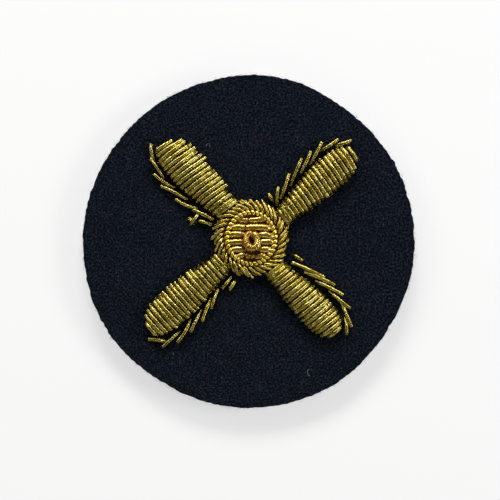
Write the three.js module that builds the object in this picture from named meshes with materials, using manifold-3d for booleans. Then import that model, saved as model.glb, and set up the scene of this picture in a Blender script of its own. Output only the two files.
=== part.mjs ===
// A round sew-on badge of dark wool felt, embroidered with a four-bladed propeller in gold bullion
// wire. It lies on its back: +Z points out of its face, +Y is the top of the badge, and the origin
// is the centre of the rear face. Millimetres and degrees.
//
// Bullion wire ("purl") is a hollow coil, cut into short chips and sewn down like beads. Each blade
// is a row of chips laid across a padded core, edged on one side by slanted chips. The hub has a
// ring of slanted chips, a beaded ring of pearl purl, straight rows of smooth purl, and an eyelet.

import * as THREE from 'three';
import * as BufferGeometryUtils from 'three/addons/utils/BufferGeometryUtils.js';
import Module from 'manifold-3d';

const wasm = await Module();
wasm.setup();

// ---- Driving dimensions -------------------------------------------------------------------------

const BADGE_RADIUS = 29.93;
const OUTLINE_STEPS = 72;
// The disc is cut by hand: each wave is [times round, height, phase].
const OUTLINE_WAVES = [
  [2, 0.05, 225], [3, 0.07, 115], [4, 0.12, 325], [5, 0.08, 335], [6, 0.04, 220], [8, 0.07, 95],
];

const GAP = 0.03;
const LINING_THICKNESS = 0.35;
const BUCKRAM_THICKNESS = 0.7;
const FELT_THICKNESS = 1.8;
const FELT_EDGE_ROUND = 0.25;
const THREAD_MAT_THICKNESS = 0.3;

const BUCKRAM_BOTTOM = LINING_THICKNESS + GAP;
const FELT_BOTTOM = BUCKRAM_BOTTOM + BUCKRAM_THICKNESS + GAP;
const FELT_TOP = FELT_BOTTOM + FELT_THICKNESS;
const WORK_BASE = FELT_TOP + GAP;

const ROUGH_PURL = 0.85;
const CHIP_PITCH = 0.894;
const EDGE_PURL = 0.6;
const SMOOTH_PURL = 1.24;
const EYELET_PURL = 1.1;

const HUB_CENTRE = new THREE.Vector3(0.42, 0.58, 0);
const HUB_PAD_RADIUS = 6.3;
const HUB_PAD_HEIGHT = 1.2;
const HUB_STITCH_RADIUS = 5.2;
// The padding's rounded rim: each point is a distance in from the rim and a share of the height.
const HUB_PAD_RIM = [[0, 0], [0.15, 0.5], [0.8, 0.85], [1.5, 1]];

// The ring's face runs over points that are each a distance in from its outer edge and a height.
// Underneath it clears the padding, and haunch is where it turns down over the padding's rim.
const HUB_RING = {
  inner: 5.1, outer: 7.15, chips: 34, slant: 48, groove: 0.3,
  foot: [0, 0.75], shoulder: [0.85, 1.75], crest: [1.6, 2.15], lip: [2.05, 1.85],
  clearance: 0.12, haunch: { inwards: 0.65, height: 0.78 },
};
const PEARL_RING = { radius: 4.5, tube: 0.52, beads: 35, lean: 14, groove: 0.12 };
const ROW_FIELD_RADIUS = 3.92;
const ROW_PITCH = 1.32;
const ROW_END_TAPER = 0.25;
// The first and last row are a little thinner and set in a little.
const OUTER_ROW = { scale: 0.87, inward: 0.1 };
const EYELET = { x: 0.12, y: -0.5, halfWidth: 1.15, halfHeight: 1.42, rise: 0.85, tilt: -0.22 };

const BLADE_ROOT = 7.3;
const BLADE_SPREAD = [-0.1, 0.6];
const BLADE_TIP_ROUND = 0.27;
const BLADE_TIP_BLUNTNESS = 0.86;
const BLADE_PAD_HEIGHT = 1.85;
const BLADE_PAD_SPAN = [0.03, 0.95];
const PAD_DROP = { root: 0.2, tip: 0.5 };
const ARCH_FULLNESS = 0.9;
const GROOVE_INSET = 0.2 * ROUGH_PURL;
const GROOVE_COVER = 0.6 * ROUGH_PURL;
const STITCH_INSET = 1;
const STITCH_CLEARANCE = 0.1;
const STITCH_SHARES = [0.06, 0.3, 0.55, 0.75, 0.9];

// Each blade is sewn by hand, so they differ a little. Radii run from the hub's centre; left is the
// counterclockwise side, which carries the edging. leftRoot and rightRoot are the field's half
// widths at the hub, left and right those of its widest stretch; lean shifts the tip to the left,
// tilt turns the chips from square, and ragged is how far single chips stick out on the right.
// Each edging chip is [distance along the blade, distance to the left, length, heading], with the
// heading turned from the blade's own direction towards its left. The first is a stub at the root.
const BLADES = [
  {
    name: 'ne', angle: 40, tip: 24.3, leftRoot: 1.3, rightRoot: 2.55, left: 3.15, right: 3.4,
    lean: 0, tilt: 5, ragged: 0.15,
    edging: [
      [7.5, 3.4, 0.9, 80], [8.7, 2.9, 2.9, 45], [10.9, 3.4, 4.4, 31], [14.1, 4, 5, 28],
      [16.6, 4.3, 3.9, 25], [19, 4.3, 4.2, 22], [21.8, 3.8, 3.4, -6], [23.9, 2.4, 2.4, -24],
    ],
  },
  {
    name: 'nw', angle: 131, tip: 23.4, leftRoot: 2.5, rightRoot: 2.45, left: 4, right: 3.05,
    lean: 1.8, tilt: 4, ragged: 0.4,
    edging: [
      [7.7, 4.5, 1.9, 31], [9.1, 3.8, 3.6, 24], [12.5, 4.8, 4, 24], [15.5, 5.2, 4.9, 22],
      [18.3, 5.1, 4.2, 14], [20.8, 4.5, 3.9, -7], [23.5, 3.2, 2.6, -32], [9.3, 5.4, 1.5, 105],
    ],
  },
  {
    name: 'sw', angle: 222, tip: 24.9, leftRoot: 2.1, rightRoot: 2.35, left: 3.3, right: 3.6,
    lean: 0.6, tilt: 0, ragged: 0.25,
    edging: [
      [8.3, 4.1, 1.4, 16], [8.9, 3.1, 1.9, 9], [12.4, 3.8, 3.4, 29], [14.8, 4.3, 4.1, 28],
      [17.5, 4.5, 4, 22], [20.4, 4.4, 4.5, 17], [23.1, 3.9, 3.9, 0], [25, 2.3, 3, -50],
    ],
  },
  {
    name: 'se', angle: 312, tip: 23.2, leftRoot: 1.75, rightRoot: 2.8, left: 3.2, right: 3.3,
    lean: 0, tilt: 3, ragged: 0.12,
    edging: [
      [8.4, 4, 1.3, 14], [11.3, 3.9, 6.1, 23], [13.8, 4.4, 5.6, 25], [16.3, 4.6, 5.3, 21],
      [19.1, 4.5, 4.4, 9], [22, 3.5, 4.2, -20], [23.4, 2, 2.6, -38],
    ],
  },
];

const EDGE_CHIP_RISE = 0.3;
const EDGE_CHIP_SHARES = [-0.5, -0.2, 0.2, 0.5];

// Facets round or along the curved pieces.
const BAR_SIDES = 6;
const ROW_SIDES = 8;
const ARCH_STEPS = 6;
const PADDING_STEPS = 9;
const HUB_PAD_SIDES = 36;
const HUB_STITCH_SEGMENTS = 14;
const EYELET_STEPS = 20;

// ---- Materials ----------------------------------------------------------------------------------

const material = (name, color, roughness, metalness) =>
  new THREE.MeshStandardMaterial({ name, color, roughness, metalness, flatShading: true });

const MATERIALS = {
  felt: material('navy_felt', 0x13181e, 0.95, 0),
  buckram: material('buckram', 0xcfc7b2, 0.9, 0),
  lining: material('lining_cloth', 0x101216, 0.9, 0),
  padding: material('padding', 0xc2a24a, 0.85, 0),
  thread: material('sewing_thread', 0xb98f2e, 0.7, 0),
  roughPurl: material('rough_purl', 0xb79b45, 0.42, 1),
  pearlPurl: material('pearl_purl', 0xc48f33, 0.3, 1),
  smoothPurl: material('smooth_purl', 0xc19a45, 0.25, 1),
};

// ---- Geometry helpers ---------------------------------------------------------------------------

const radians = THREE.MathUtils.degToRad;
const { lerp, smoothstep } = THREE.MathUtils;

// Joins equal-length closed profiles (2-D points) into one solid. place(i, point) puts a profile's
// point into space; a loft that isn't a closed ring is capped at both ends.
function loft(profiles, place, isRing = false) {
  const count = profiles[0].length;
  const positions = profiles.flatMap((profile, i) => profile.flatMap((p) => place(i, p).toArray()));
  const index = [];
  const spans = isRing ? profiles.length : profiles.length - 1;
  for (let i = 0; i < spans; i += 1) {
    const here = i * count;
    const next = ((i + 1) % profiles.length) * count;
    for (let j = 0; j < count; j += 1) {
      const k = (j + 1) % count;
      index.push(here + j, here + k, next + k, here + j, next + k, next + j);
    }
  }
  if (!isRing) {
    index.push(...capFaces(profiles[0], 0, -1));
    index.push(...capFaces(profiles.at(-1), (profiles.length - 1) * count, 1));
  }
  const geometry = new THREE.BufferGeometry();
  geometry.setAttribute('position', new THREE.Float32BufferAttribute(positions, 3));
  geometry.setIndex(signedVolume(positions, index) < 0 ? index.toReversed() : index);
  geometry.computeVertexNormals();
  return geometry;
}

// Fills a profile with triangles that turn the profile's own way (side 1) or against it (side -1).
function capFaces(profile, first, side) {
  const turn = Math.sign(THREE.ShapeUtils.area(profile)) * side;
  return THREE.ShapeUtils.triangulateShape(profile, []).flatMap((face) => {
    const faceTurn = Math.sign(THREE.ShapeUtils.area(face.map((corner) => profile[corner])));
    const ordered = faceTurn === turn ? face : face.toReversed();
    return ordered.map((corner) => first + corner);
  });
}

function signedVolume(positions, index) {
  const corner = (i) => new THREE.Vector3().fromArray(positions, 3 * index[i]);
  let volume = 0;
  for (let i = 0; i < index.length; i += 3) {
    volume += corner(i).dot(corner(i + 1).cross(corner(i + 2)));
  }
  return volume;
}

function circle(radius, sides) {
  return Array.from({ length: sides }, (_, i) => {
    const angle = (2 * Math.PI * i) / sides;
    return new THREE.Vector2(radius * Math.cos(angle), radius * Math.sin(angle));
  });
}

// A round bar through centre points, with its own radius at each and flat ends.
function bar(centres, radii, sides) {
  const frames = centres.map((centre, i) => {
    const before = centres[Math.max(i - 1, 0)];
    const after = centres[Math.min(i + 1, centres.length - 1)];
    const along = after.clone().sub(before).normalize();
    const across = new THREE.Vector3(0, 0, 1).cross(along).normalize();
    return { centre, across, up: along.clone().cross(across) };
  });
  const place = (i, p) => frames[i].centre.clone()
    .addScaledVector(frames[i].across, p.x)
    .addScaledVector(frames[i].up, p.y);
  return loft(radii.map((radius) => circle(radius, sides)), place);
}

function toManifold(geometry) {
  const bare = new THREE.BufferGeometry();
  bare.setAttribute('position', geometry.getAttribute('position'));
  bare.setIndex(geometry.getIndex());
  const merged = BufferGeometryUtils.mergeVertices(bare, 1e-4);
  return new wasm.Manifold(new wasm.Mesh({
    numProp: 3,
    vertProperties: new Float32Array(merged.getAttribute('position').array),
    triVerts: new Uint32Array(merged.getIndex().array),
  }));
}

function fromManifold(solid) {
  const mesh = solid.getMesh();
  const geometry = new THREE.BufferGeometry();
  geometry.setAttribute('position', new THREE.BufferAttribute(mesh.vertProperties, 3));
  geometry.setIndex(new THREE.BufferAttribute(mesh.triVerts, 1));
  geometry.computeVertexNormals();
  return geometry;
}

function named(name, geometry, look) {
  const mesh = new THREE.Mesh(geometry, look);
  mesh.name = name;
  return mesh;
}

// ---- Badge layers -------------------------------------------------------------------------------

function discOutline() {
  const points = circle(1, OUTLINE_STEPS).map((direction, i) => {
    const turn = (360 * i) / OUTLINE_STEPS;
    const wave = OUTLINE_WAVES.reduce(
      (sum, [times, height, phase]) => sum + height * Math.cos(radians(times * turn + phase)), 0);
    return direction.multiplyScalar(BADGE_RADIUS + wave);
  });
  const middle = new THREE.Box2().setFromPoints(points).getCenter(new THREE.Vector2());
  return points.map((point) => point.sub(middle));
}

const DISC_OUTLINE = discOutline();

function discSlab(bottom, thickness) {
  const shape = new THREE.Shape(DISC_OUTLINE);
  const slab = new THREE.ExtrudeGeometry(shape, { depth: thickness, bevelEnabled: false });
  return slab.translate(0, 0, bottom);
}

// The felt's cut edge is worn slightly round.
function feltDisc() {
  const levels = [0, FELT_EDGE_ROUND, FELT_THICKNESS - FELT_EDGE_ROUND, FELT_THICKNESS];
  const insets = [FELT_EDGE_ROUND, 0, 0, FELT_EDGE_ROUND];
  const profiles = insets.map((inset) =>
    DISC_OUTLINE.map((p) => p.clone().multiplyScalar(1 - inset / BADGE_RADIUS)));
  return loft(profiles, (i, p) => new THREE.Vector3(p.x, p.y, FELT_BOTTOM + levels[i]));
}

// ---- Blades -------------------------------------------------------------------------------------

// Half widths of a blade's field at a share of the way from root to tip. The tip is an ellipse.
function bladeSides(blade, share) {
  const spread = smoothstep(share, ...BLADE_SPREAD);
  const left = lerp(blade.leftRoot, blade.left, spread);
  const right = lerp(blade.rightRoot, blade.right, spread);
  const pastShoulder = Math.max(0, (share - 1 + BLADE_TIP_ROUND) / BLADE_TIP_ROUND);
  const narrowing = 1 - Math.sqrt(1 - BLADE_TIP_BLUNTNESS * pastShoulder ** 2);
  return { left: lerp(left, blade.lean, narrowing), right: lerp(right, -blade.lean, narrowing) };
}

function padHeight(share) {
  return BLADE_PAD_HEIGHT * (1 - PAD_DROP.root * (1 - share) ** 2 - PAD_DROP.tip * share ** 6);
}

// Half of a flattened ellipse, from the left foot over the top to the right foot.
function arch(left, right, height, steps) {
  const middle = (left - right) / 2;
  const half = (left + right) / 2;
  return Array.from({ length: steps + 1 }, (_, i) => {
    const angle = (Math.PI * i) / steps;
    return new THREE.Vector2(middle + half * Math.cos(angle), height * Math.sin(angle) ** ARCH_FULLNESS);
  });
}

// The purl chips of one blade lie side by side over the padding, from foot to foot. They are one
// ribbed shell: a profile at the crown of each chip and one in each groove between two chips.
function purlField(blade) {
  const chips = Math.round((blade.tip - BLADE_ROOT) / CHIP_PITCH);
  const slope = Math.tan(radians(blade.tilt));
  const profiles = [];
  for (let i = 0; i <= 2 * chips; i += 1) {
    const share = i / (2 * chips);
    const crown = i % 2 === 1;
    const sides = bladeSides(blade, share);
    const ragged = crown ? blade.ragged * Math.sin(i * i) ** 2 : 0;
    const inset = crown ? 0 : GROOVE_INSET;
    const cover = crown ? ROUGH_PURL : GROOVE_COVER;
    const padTop = padHeight(share) + GAP;
    const outer = arch(sides.left - inset, sides.right - inset + ragged, padTop + cover, ARCH_STEPS);
    const inner = arch(sides.left - ROUGH_PURL, sides.right - ROUGH_PURL, padTop, ARCH_STEPS);
    profiles.push([...outer, ...inner.toReversed()]);
  }
  const step = (blade.tip - BLADE_ROOT) / (2 * chips);
  return loft(profiles, (i, p) =>
    new THREE.Vector3(BLADE_ROOT + i * step + p.x * slope, p.x, WORK_BASE + p.y));
}

// The core of soft cotton under one blade's chips, a clearance inside their shell all round.
function bladePadding(blade) {
  const clearance = ROUGH_PURL + 3 * GAP;
  const slope = Math.tan(radians(blade.tilt));
  const shareAt = (i) => lerp(...BLADE_PAD_SPAN, i / PADDING_STEPS);
  const profiles = [];
  for (let i = 0; i <= PADDING_STEPS; i += 1) {
    const share = shareAt(i);
    const sides = bladeSides(blade, share);
    const height = padHeight(share) - GAP;
    profiles.push(arch(sides.left - clearance, sides.right - clearance, height, ARCH_STEPS));
  }
  const along = (i) => lerp(BLADE_ROOT, blade.tip, shareAt(i));
  return loft(profiles, (i, p) =>
    new THREE.Vector3(along(i) + p.x * slope, p.x, WORK_BASE + p.y));
}

// One chip of the edging, as a bar that rises in its middle where it rides over its stitch.
function edgeChip([along, left, length, heading]) {
  const middle = new THREE.Vector3(along, left, 0);
  const direction = new THREE.Vector3(Math.cos(radians(heading)), Math.sin(radians(heading)), 0);
  const centres = EDGE_CHIP_SHARES.map((share) => middle.clone()
    .addScaledVector(direction, share * length)
    .setZ(WORK_BASE + EDGE_PURL / 2 + EDGE_CHIP_RISE * (1 - 4 * share ** 2)));
  return bar(centres, centres.map(() => EDGE_PURL / 2), BAR_SIDES);
}

// ---- Stitches at the back -----------------------------------------------------------------------

// The footprint of a blade's stitches, drawn in from the field's outline.
function stitchShape(blade, inset) {
  const along = (share) => lerp(BLADE_ROOT, blade.tip, share);
  const leftSide = STITCH_SHARES.map((share) =>
    new THREE.Vector2(along(share), bladeSides(blade, share).left - inset));
  const rightSide = STITCH_SHARES.map((share) =>
    new THREE.Vector2(along(share), inset - bladeSides(blade, share).right));
  return new THREE.Shape([...rightSide, ...leftSide.toReversed()]);
}

function slabOf(shape, bottom, thickness) {
  const slab = new THREE.ExtrudeGeometry(shape, {
    depth: thickness, bevelEnabled: false, curveSegments: HUB_STITCH_SEGMENTS,
  });
  return slab.translate(0, 0, bottom);
}

const hubStitchShape = (radius) => new THREE.Shape().absarc(0, 0, radius, 0, 2 * Math.PI);

const threadMat = (shape) => slabOf(shape, BUCKRAM_BOTTOM + GAP, THREAD_MAT_THICKNESS);

// The buckram has a shallow pocket in its underside for each mat of stitches.
function buckram() {
  let solid = toManifold(discSlab(BUCKRAM_BOTTOM, BUCKRAM_THICKNESS));
  const depth = THREAD_MAT_THICKNESS + 2 * GAP;
  const pocket = (shape, angle) => toManifold(slabOf(shape, BUCKRAM_BOTTOM - GAP, depth + GAP)
    .rotateZ(radians(angle))
    .translate(HUB_CENTRE.x, HUB_CENTRE.y, 0));
  for (const blade of BLADES) {
    const outline = stitchShape(blade, STITCH_INSET - STITCH_CLEARANCE);
    solid = solid.subtract(pocket(outline, blade.angle));
  }
  const hubOutline = hubStitchShape(HUB_STITCH_RADIUS + STITCH_CLEARANCE);
  return fromManifold(solid.subtract(pocket(hubOutline, 0)));
}

// ---- Hub ----------------------------------------------------------------------------------------

function hubPadding() {
  const rim = HUB_PAD_RIM.map(([inwards, share]) =>
    new THREE.Vector2(HUB_PAD_RADIUS - inwards, share * HUB_PAD_HEIGHT));
  const profile = [new THREE.Vector2(0, 0), ...rim, new THREE.Vector2(0, HUB_PAD_HEIGHT)];
  const padding = new THREE.LatheGeometry(profile, HUB_PAD_SIDES);
  return padding.rotateX(Math.PI / 2).translate(0, 0, WORK_BASE);
}

// Slanted chips side by side in a ring, as one ribbed shell over the hub padding's rim. Each
// profile runs from the outer foot over the top to the inner edge and back underneath.
function hubPurlRing() {
  const { inner, outer, chips, slant, groove, clearance, haunch } = HUB_RING;
  const under = HUB_PAD_HEIGHT + 2 * GAP;
  const wall = HUB_PAD_RADIUS + clearance;
  const face = [HUB_RING.foot, HUB_RING.shoulder, HUB_RING.crest, HUB_RING.lip];
  const profiles = [];
  for (let i = 0; i < 2 * chips; i += 1) {
    const drop = i % 2 === 0 ? 0 : groove;
    profiles.push([
      [outer - drop / 2, 0],
      ...face.map(([inwards, height], k) => [outer - inwards - (k ? 0 : drop / 2), height - drop]),
      [inner + GAP, under], [HUB_PAD_RADIUS - haunch.inwards, under],
      [wall, haunch.height], [wall, 0],
    ].map(([x, y]) => new THREE.Vector2(x, y)));
  }
  const sweep = Math.tan(radians(slant));
  return loft(profiles, (i, p) => {
    const angle = (Math.PI * i) / chips + sweep * Math.log(p.x / inner);
    return new THREE.Vector3(p.x * Math.cos(angle), p.x * Math.sin(angle), WORK_BASE + p.y);
  }, true);
}

const PEARL_HEIGHT = WORK_BASE + HUB_PAD_HEIGHT + GAP + PEARL_RING.tube;

// Pearl purl reads as a string of beads; its beads lean clockwise towards the rim.
function hubPearlPurl() {
  const { radius, tube, beads, lean, groove } = PEARL_RING;
  const profiles = [];
  for (let i = 0; i < 2 * beads; i += 1) {
    profiles.push(circle(tube - (i % 2 === 0 ? 0 : groove), BAR_SIDES));
  }
  return loft(profiles, (i, p) => {
    const angle = (Math.PI * i) / beads - (Math.tan(radians(lean)) * p.x) / radius;
    const out = radius + p.x;
    return new THREE.Vector3(out * Math.cos(angle), out * Math.sin(angle), PEARL_HEIGHT + p.y);
  }, true);
}

const ROW_RADIUS = SMOOTH_PURL / 2;
const ROW_HEIGHT = WORK_BASE + HUB_PAD_HEIGHT + GAP + ROW_RADIUS;

// How far a row at height y reaches sideways before a bar of this radius meets the pearl purl.
function rowReach(y, radius) {
  return Math.sqrt(ROW_FIELD_RADIUS ** 2 - (Math.abs(y) + radius) ** 2);
}

// One straight row of smooth purl, which narrows where it runs under the pearl purl. stopLeft and
// stopRight cut it off square where it meets the eyelet.
function centreRow(y, radius, stopLeft, stopRight) {
  const thin = ROW_END_TAPER * radius;
  const ends = [
    { x: -rowReach(y, thin), radius: thin }, { x: -rowReach(y, radius), radius },
    { x: rowReach(y, radius), radius }, { x: rowReach(y, thin), radius: thin },
  ];
  const kept = ends.filter(({ x }) => x > stopLeft && x < stopRight);
  if (stopLeft > ends[0].x) {
    kept.unshift({ x: stopLeft, radius });
  }
  if (stopRight < ends[3].x) {
    kept.push({ x: stopRight, radius });
  }
  const centres = kept.map(({ x }) => new THREE.Vector3(x, y, ROW_HEIGHT));
  return bar(centres, kept.map((end) => end.radius), ROW_SIDES);
}

// Six rows; the three at the eyelet's height are each cut into a left and a right chip.
function centreRows() {
  const rows = [];
  const eyeletHalf = EYELET.halfWidth + EYELET_PURL / 2 + 2 * GAP;
  for (let i = 0; i < 6; i += 1) {
    const y = (2.5 - i) * ROW_PITCH;
    const outermost = i === 0 || i === 5;
    const name = `hub_centre_row_${i + 1}`;
    if (i >= 2 && i <= 4) {
      const left = centreRow(y, ROW_RADIUS, -Infinity, EYELET.x - eyeletHalf);
      const right = centreRow(y, ROW_RADIUS, EYELET.x + eyeletHalf, Infinity);
      rows.push(named(`${name}_left`, left, MATERIALS.smoothPurl));
      rows.push(named(`${name}_right`, right, MATERIALS.smoothPurl));
    } else {
      const radius = outermost ? OUTER_ROW.scale * ROW_RADIUS : ROW_RADIUS;
      const rowY = outermost ? y - Math.sign(y) * OUTER_ROW.inward : y;
      const row = centreRow(rowY, radius, -Infinity, Infinity);
      rows.push(named(name, row, MATERIALS.smoothPurl));
    }
  }
  return rows;
}

// A loop of purl, standing a little above the rows and tipped up at its lower side.
function eyelet() {
  const section = circle(EYELET_PURL / 2, BAR_SIDES);
  const profiles = Array.from({ length: EYELET_STEPS }, () => section);
  return loft(profiles, (i, p) => {
    const angle = (2 * Math.PI * i) / EYELET_STEPS;
    const x = (EYELET.halfWidth + p.x) * Math.cos(angle);
    const y = (EYELET.halfHeight + p.x) * Math.sin(angle);
    const z = ROW_HEIGHT + EYELET.rise + EYELET.tilt * y + p.y;
    return new THREE.Vector3(EYELET.x + x, EYELET.y + y, z);
  }, true);
}

// ---- Assembly -----------------------------------------------------------------------------------

function bladeGroup(blade) {
  const group = new THREE.Group();
  const name = `blade_${blade.name}`;
  group.rotation.z = radians(blade.angle);
  group.add(named(`${name}_padding`, bladePadding(blade), MATERIALS.padding));
  group.add(named(`${name}_purl_field`, purlField(blade), MATERIALS.roughPurl));
  group.add(named(`${name}_back_threads`, threadMat(stitchShape(blade, STITCH_INSET)), MATERIALS.thread));
  blade.edging.forEach((chip, i) => {
    group.add(named(`${name}_edge_chip_${i + 1}`, edgeChip(chip), MATERIALS.roughPurl));
  });
  return group;
}

const propeller = new THREE.Group();
propeller.position.copy(HUB_CENTRE);
propeller.add(
  named('hub_padding', hubPadding(), MATERIALS.padding),
  named('hub_back_threads', threadMat(hubStitchShape(HUB_STITCH_RADIUS)), MATERIALS.thread),
  named('hub_purl_ring', hubPurlRing(), MATERIALS.roughPurl),
  named('hub_pearl_purl', hubPearlPurl(), MATERIALS.pearlPurl),
  ...centreRows(),
  named('hub_centre_eyelet', eyelet(), MATERIALS.smoothPurl),
  ...BLADES.map(bladeGroup),
);

const badge = new THREE.Group();
badge.add(
  named('lining_cloth', discSlab(0, LINING_THICKNESS), MATERIALS.lining),
  named('buckram_stiffener', buckram(), MATERIALS.buckram),
  named('felt_disc', feltDisc(), MATERIALS.felt),
  propeller,
);

export default badge;
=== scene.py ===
import math

import bpy
import numpy as np
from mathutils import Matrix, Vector
from mathutils.bvhtree import BVHTree
from mathutils.kdtree import KDTree


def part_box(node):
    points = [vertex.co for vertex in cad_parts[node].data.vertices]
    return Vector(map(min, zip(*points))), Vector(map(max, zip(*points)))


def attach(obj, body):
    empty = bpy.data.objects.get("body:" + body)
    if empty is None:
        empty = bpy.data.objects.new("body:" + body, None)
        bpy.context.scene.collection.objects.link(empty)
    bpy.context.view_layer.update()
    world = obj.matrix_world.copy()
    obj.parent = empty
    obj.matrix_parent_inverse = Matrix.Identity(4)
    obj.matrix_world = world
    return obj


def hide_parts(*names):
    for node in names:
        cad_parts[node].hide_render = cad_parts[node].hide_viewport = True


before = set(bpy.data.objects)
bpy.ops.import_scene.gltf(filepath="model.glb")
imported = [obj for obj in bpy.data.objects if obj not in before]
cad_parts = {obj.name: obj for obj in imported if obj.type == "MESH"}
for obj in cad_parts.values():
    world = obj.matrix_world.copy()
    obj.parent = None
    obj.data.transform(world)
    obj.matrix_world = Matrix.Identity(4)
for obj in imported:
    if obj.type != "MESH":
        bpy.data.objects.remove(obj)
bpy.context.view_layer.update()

MM = 0.001
UP = np.array([0.0, 0.0, 1.0])
RAY_START = 20 * MM
RANDOM = np.random.default_rng(11)

# ---- What the frame gives ----


def node_points(node):
    """The vertices of a CAD node, as an array."""
    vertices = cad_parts[node].data.vertices
    points = np.empty(3 * len(vertices))
    vertices.foreach_get("co", points)
    return points.reshape(-1, 3)


def node_tree(node):
    """A tree of a CAD node's surface, for casting rays at it."""
    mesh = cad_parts[node].data
    faces = [tuple(polygon.vertices) for polygon in mesh.polygons]
    return BVHTree.FromPolygons([v.co.copy() for v in mesh.vertices], faces)


def under(tree, spot):
    """Where a ray straight down through spot first meets a surface, or None."""
    return tree.ray_cast(Vector(spot + UP * RAY_START), Vector((0, 0, -1)))[0]


def middle(node):
    """The middle of a CAD node's box."""
    low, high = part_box(node)
    return np.array((low + high) / 2)


# The hub's centre, the felt's face and the level that the embroidery stands on.
HUB = middle("hub_pearl_purl") * [1, 1, 0]
FELT_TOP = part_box("felt_disc")[1].z
WORK_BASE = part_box("hub_padding")[0].z

# The turn of each blade from +X, and of its chips from square, in degrees, as the CAD model has them.
BLADES = {"ne": (40, 5), "nw": (131, 4), "sw": (222, 0), "se": (312, 3)}
CHIP_PITCH = 0.894 * MM
# The CAD ring round the hub: its chips, their slant in degrees and the radius they start from.
HUB_CHIPS = 34
HUB_SLANT = 48
HUB_INNER = 5.1 * MM
PEARL_BEADS = 35

# Each wire's coil: its outer radius, the pitch of its turns and the depth of their grooves.
ROUGH = {"radius": 0.42 * MM, "pitch": 0.16 * MM, "groove": 0.04 * MM}
EDGE = {**ROUGH, "radius": 0.36 * MM}
RING = {**ROUGH, "radius": 0.32 * MM}
SMOOTH = {"pitch": 0.13 * MM, "groove": 0.012 * MM}
EYELET = {"radius": 0.76 * MM, "pitch": 0.34 * MM, "groove": 0.09 * MM}

# The chips under a blade's last one, as shares of its width and height.
TIP_FILLERS = [(0.84, 0.66), (0.66, 0.34)]

# The chip tucked in under the hub's ring, as shares of the first one's width and height, and how
# far it is set back, as a share of the pitch.
ROOT_FILLER = (0.85, 0.8)
ROOT_SETBACK = 0.75

# How far the ends of a blade's chips stray on its left and right side, in mm.
RAGGED = {"ne": (0.15, 0.3), "nw": (0.2, 0.5), "sw": (0.3, 0.3), "se": (0.15, 0.25)}

# The length from which a chip's tail springs up, and how much shorter and higher its end then is,
# in mm.
SPRINGING = 0.3
SPRUNG_SHORTER = 0.15
SPRUNG_HIGHER = 0.2

# The range of each blade's chip tones, 0 dull to 1 bright. Each chip's tone within it is random;
# the ranges are painted light and shade: NW's chips are kept brighter and SW's duller, for how the
# lamps fall on those blades.
BLADE_TONES_AND_LIGHT = {"ne": (0, 1), "nw": (0.4, 1), "sw": (0, 0.25), "se": (0, 1)}

# How a blade's chips bow towards its tip, all of them and the last ones more, in mm.
CHIP_BOW = 0.14
TIP_BOW = 0.2

# How far one chip strays from the next, in mm: the skew of its ends, its place and its height.
CHIP_SKEW = 0.05
CHIP_SHIFT = 0.03
CHIP_LIFT = 0.035

# An edging chip's arch, the rise of its outer end, and how far its inner end runs on, in mm.
EDGE_ARCH = 0.42
EDGE_RISE = 0.12
EDGE_TUCK = 0.35

# A blade's cotton: how far it stops short of the CAD padding at root and tip, in mm, its points
# along and across, and the number and the depth in mm of its flutes.
PADDING_TRIM = (0.4, 0.9)
PADDING_GRID = (26, 33)
FLUTES = 8
FLUTE_DEPTH = 0.06


def unit(vector):
    return vector / np.linalg.norm(vector)


def direction(degrees):
    angle = math.radians(degrees)
    return np.array([math.cos(angle), math.sin(angle), 0.0])


# ---- Coils ----


class Wire:
    """A path through points, with its arc length and two normals that don't twist along it."""

    def __init__(self, points):
        self.points = np.asarray(points, float)
        lengths = np.linalg.norm(np.diff(self.points, axis=0), axis=1)
        self.arc = np.concatenate([[0], np.cumsum(lengths)])
        self.length = self.arc[-1]
        tangents = np.gradient(self.points, self.arc, axis=0)
        tangents /= np.linalg.norm(tangents, axis=1)[:, None]
        side = unit(np.cross(UP, tangents[0]))
        sides = []
        for tangent in tangents:
            side = unit(side - tangent * (side @ tangent))
            sides.append(side)
        self.sides = np.array(sides)
        self.tops = np.cross(tangents, self.sides)

    def at(self, distance, values):
        return np.stack([np.interp(distance, self.arc, values[:, k]) for k in range(3)], axis=-1)


# How a coil's turns wobble: knots to a turn, and how far as a share of the coil's own wobble.
WOBBLES = [(2, 0.5), (0.8, 1.0), (0.3, 1.2)]


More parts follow.
